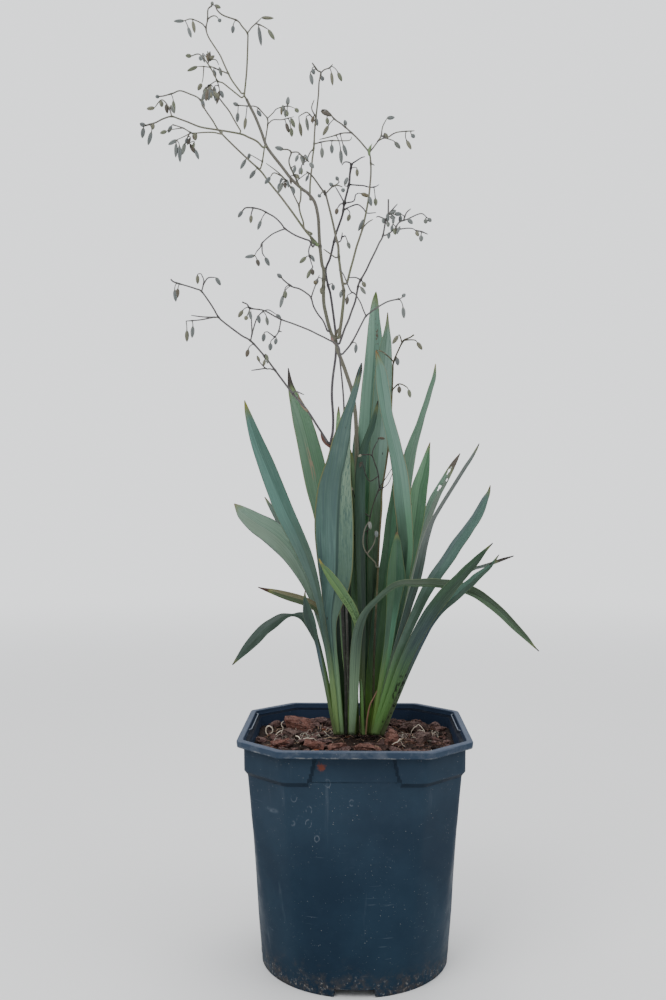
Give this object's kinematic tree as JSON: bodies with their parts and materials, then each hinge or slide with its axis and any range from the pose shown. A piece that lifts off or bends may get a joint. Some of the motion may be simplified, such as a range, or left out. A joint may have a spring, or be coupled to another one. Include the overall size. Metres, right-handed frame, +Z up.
{
  "type": "potted flax lily",
  "caption": "Flax lily with a fan of blue-green strap leaves and airy branched flower stems in bud, in a dark square-round plastic nursery pot.",
  "frame": {"origin": "centre of the pot's underside, on the surface it stands on", "axes": "+Z up along the pot; -Y is the front, towards the viewer; +X is the viewer's right"},
  "size_m": [0.3139, 0.18, 0.7928],
  "materials": {
    "pot plastic": "satin, scuffed and dusty",
    "soil": "peat and composted bark",
    "bark": "rough broken bark",
    "leaf": "waxy blue-green, fine lengthwise veins",
    "flower stem": "matt olive to purple-brown"
  },
  "bodies": {
    "root": {"bark_chip_back_right": "bark", "bark_chip_front_left": "bark", "bark_chip_front_long": "bark", "bark_chip_front_middle": "bark", "bark_chip_large": "bark", "bark_chip_left": "bark", "bark_chip_right": "bark", "bark_chip_stepped": "bark", "bark_chip_upright": "bark", "flower_stem_main": "flower stem", "flower_stem_right_small": "flower stem", "flower_stem_second": "flower stem", "flower_stem_third": "flower stem", "leaf_arching": "leaf", "leaf_back_left": "leaf", "leaf_centre_broad": "leaf", "leaf_centre_sliver": "leaf", "leaf_dark_inner": "leaf", "leaf_front_short": "leaf", "leaf_left_low": "leaf", "leaf_left_pale": "leaf", "leaf_left_sliver": "leaf", "leaf_left_small": "leaf", "leaf_left_tall": "leaf", "leaf_left_yellowing": "leaf", "leaf_olive_sliver": "leaf", "leaf_right_back_tall": "leaf", "leaf_right_broad": "leaf", "leaf_right_dry_tip": "leaf", "leaf_right_edge_on": "leaf", "leaf_right_front_tall": "leaf", "leaf_right_low": "leaf", "leaf_right_low_front": "leaf", "leaf_right_pointed": "leaf", "leaf_right_short": "leaf", "leaf_right_torn": "leaf", "leaf_second_tallest": "leaf", "leaf_tallest": "leaf", "pot": "pot plastic", "soil": "soil", "spray_centre_right": "flower stem", "spray_inner_dark": "flower stem", "spray_inner_pale": "flower stem", "spray_left_link": "flower stem", "spray_left_lower": "flower stem", "spray_left_small": "flower stem", "spray_left_upper": "flower stem", "spray_long_left": "flower stem", "spray_low_far_left": "flower stem", "spray_low_left": "flower stem", "spray_low_right": "flower stem", "spray_pale_centre": "flower stem", "spray_right": "flower stem", "spray_top_centre": "flower stem", "spray_top_far_left": "flower stem", "spray_top_left": "flower stem", "spray_top_right": "flower stem", "spray_upper_middle": "flower stem", "spray_upper_right": "flower stem"}
  },
  "joints": []
}
